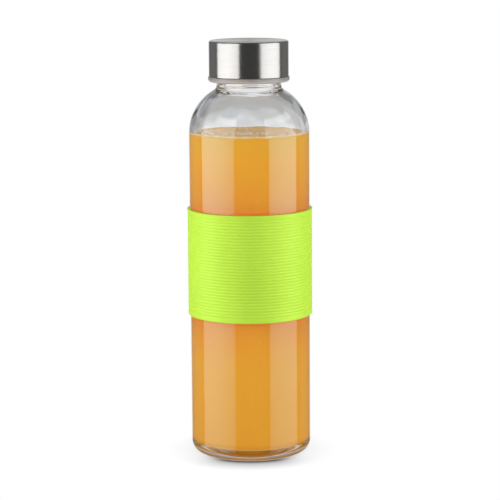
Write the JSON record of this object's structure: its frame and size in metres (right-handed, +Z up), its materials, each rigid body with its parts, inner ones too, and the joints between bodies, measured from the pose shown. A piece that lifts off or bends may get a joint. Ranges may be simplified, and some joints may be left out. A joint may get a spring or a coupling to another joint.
{
  "type": "glass bottle",
  "caption": "Round clear glass bottle of orange juice with a brushed steel screw cap and a ribbed lime green silicone sleeve around its middle.",
  "frame": {"origin": "centre of the foot, on the surface that the bottle stands on", "axes": "+Z up along the bottle's axis; the bottle is round, so +X and +Y are free"},
  "size_m": [0.0664, 0.0664, 0.22],
  "materials": {
    "glass": "clear, smooth, slightly uneven wall",
    "juice": "cloudy yellow-orange liquid with fine pulp, stood in for by a gloss solid",
    "steel": "fine brushing around the side and across the top",
    "liner": "translucent natural plastic, satin",
    "silicone": "matt silicone with fine ribs around it"
  },
  "bodies": {
    "root": {"bottle_glass": "glass", "juice": "juice", "cap_shell": "steel", "cap_liner": "liner", "sleeve": "silicone"}
  },
  "joints": []
}
